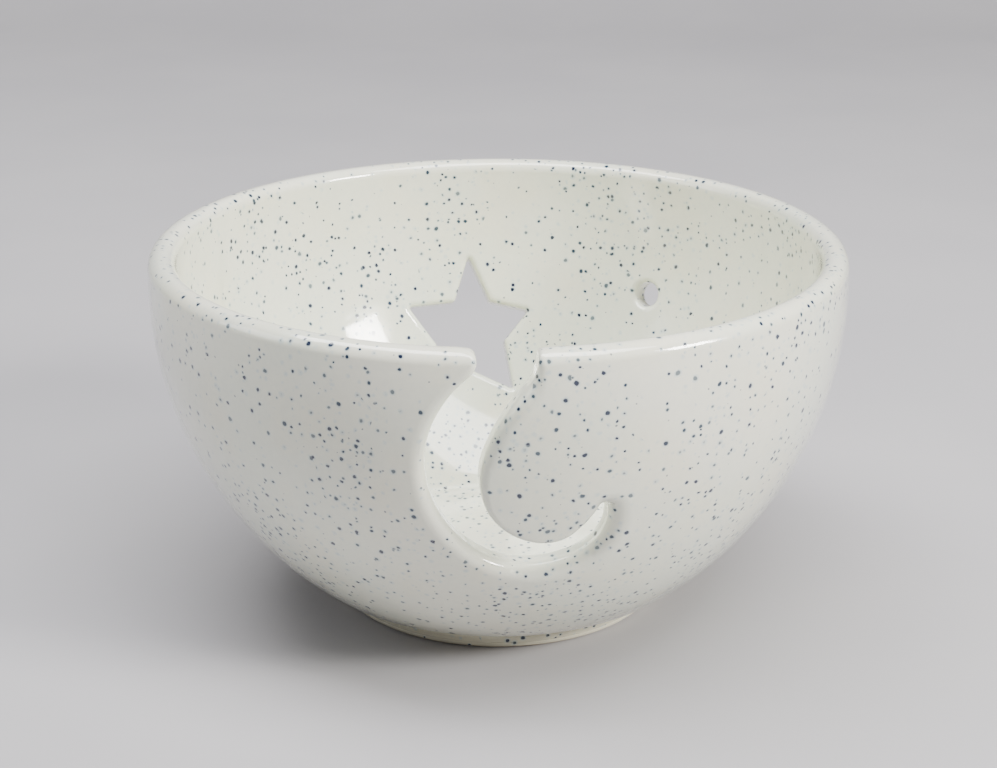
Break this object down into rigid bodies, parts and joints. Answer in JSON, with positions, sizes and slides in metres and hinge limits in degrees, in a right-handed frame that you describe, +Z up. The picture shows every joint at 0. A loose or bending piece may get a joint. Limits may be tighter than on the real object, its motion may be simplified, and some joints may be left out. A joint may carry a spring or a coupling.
{
  "type": "yarn bowl",
  "caption": "Round footed ceramic bowl with a crescent-shaped yarn slot open at the rim, a star cut-out in the back wall and a round needle hole.",
  "frame": {"origin": "centre of the circle that the foot ring stands on", "axes": "+Z up along the bowl's turning axis, -Y towards the crescent slot, +Y towards the star, +X to the right when the slot faces the viewer"},
  "size_m": [0.165, 0.1649, 0.088],
  "materials": {
    "speckled_glaze": "glossy off-white glaze with small dark blue specks",
    "bare_clay": "bare fired clay, sponged smooth, on the face that the pot stands on"
  },
  "bodies": {
    "root": {"foot_ring": "bare_clay", "bowl_floor": "speckled_glaze", "bowl_wall": "speckled_glaze", "rim": "speckled_glaze"}
  },
  "joints": []
}
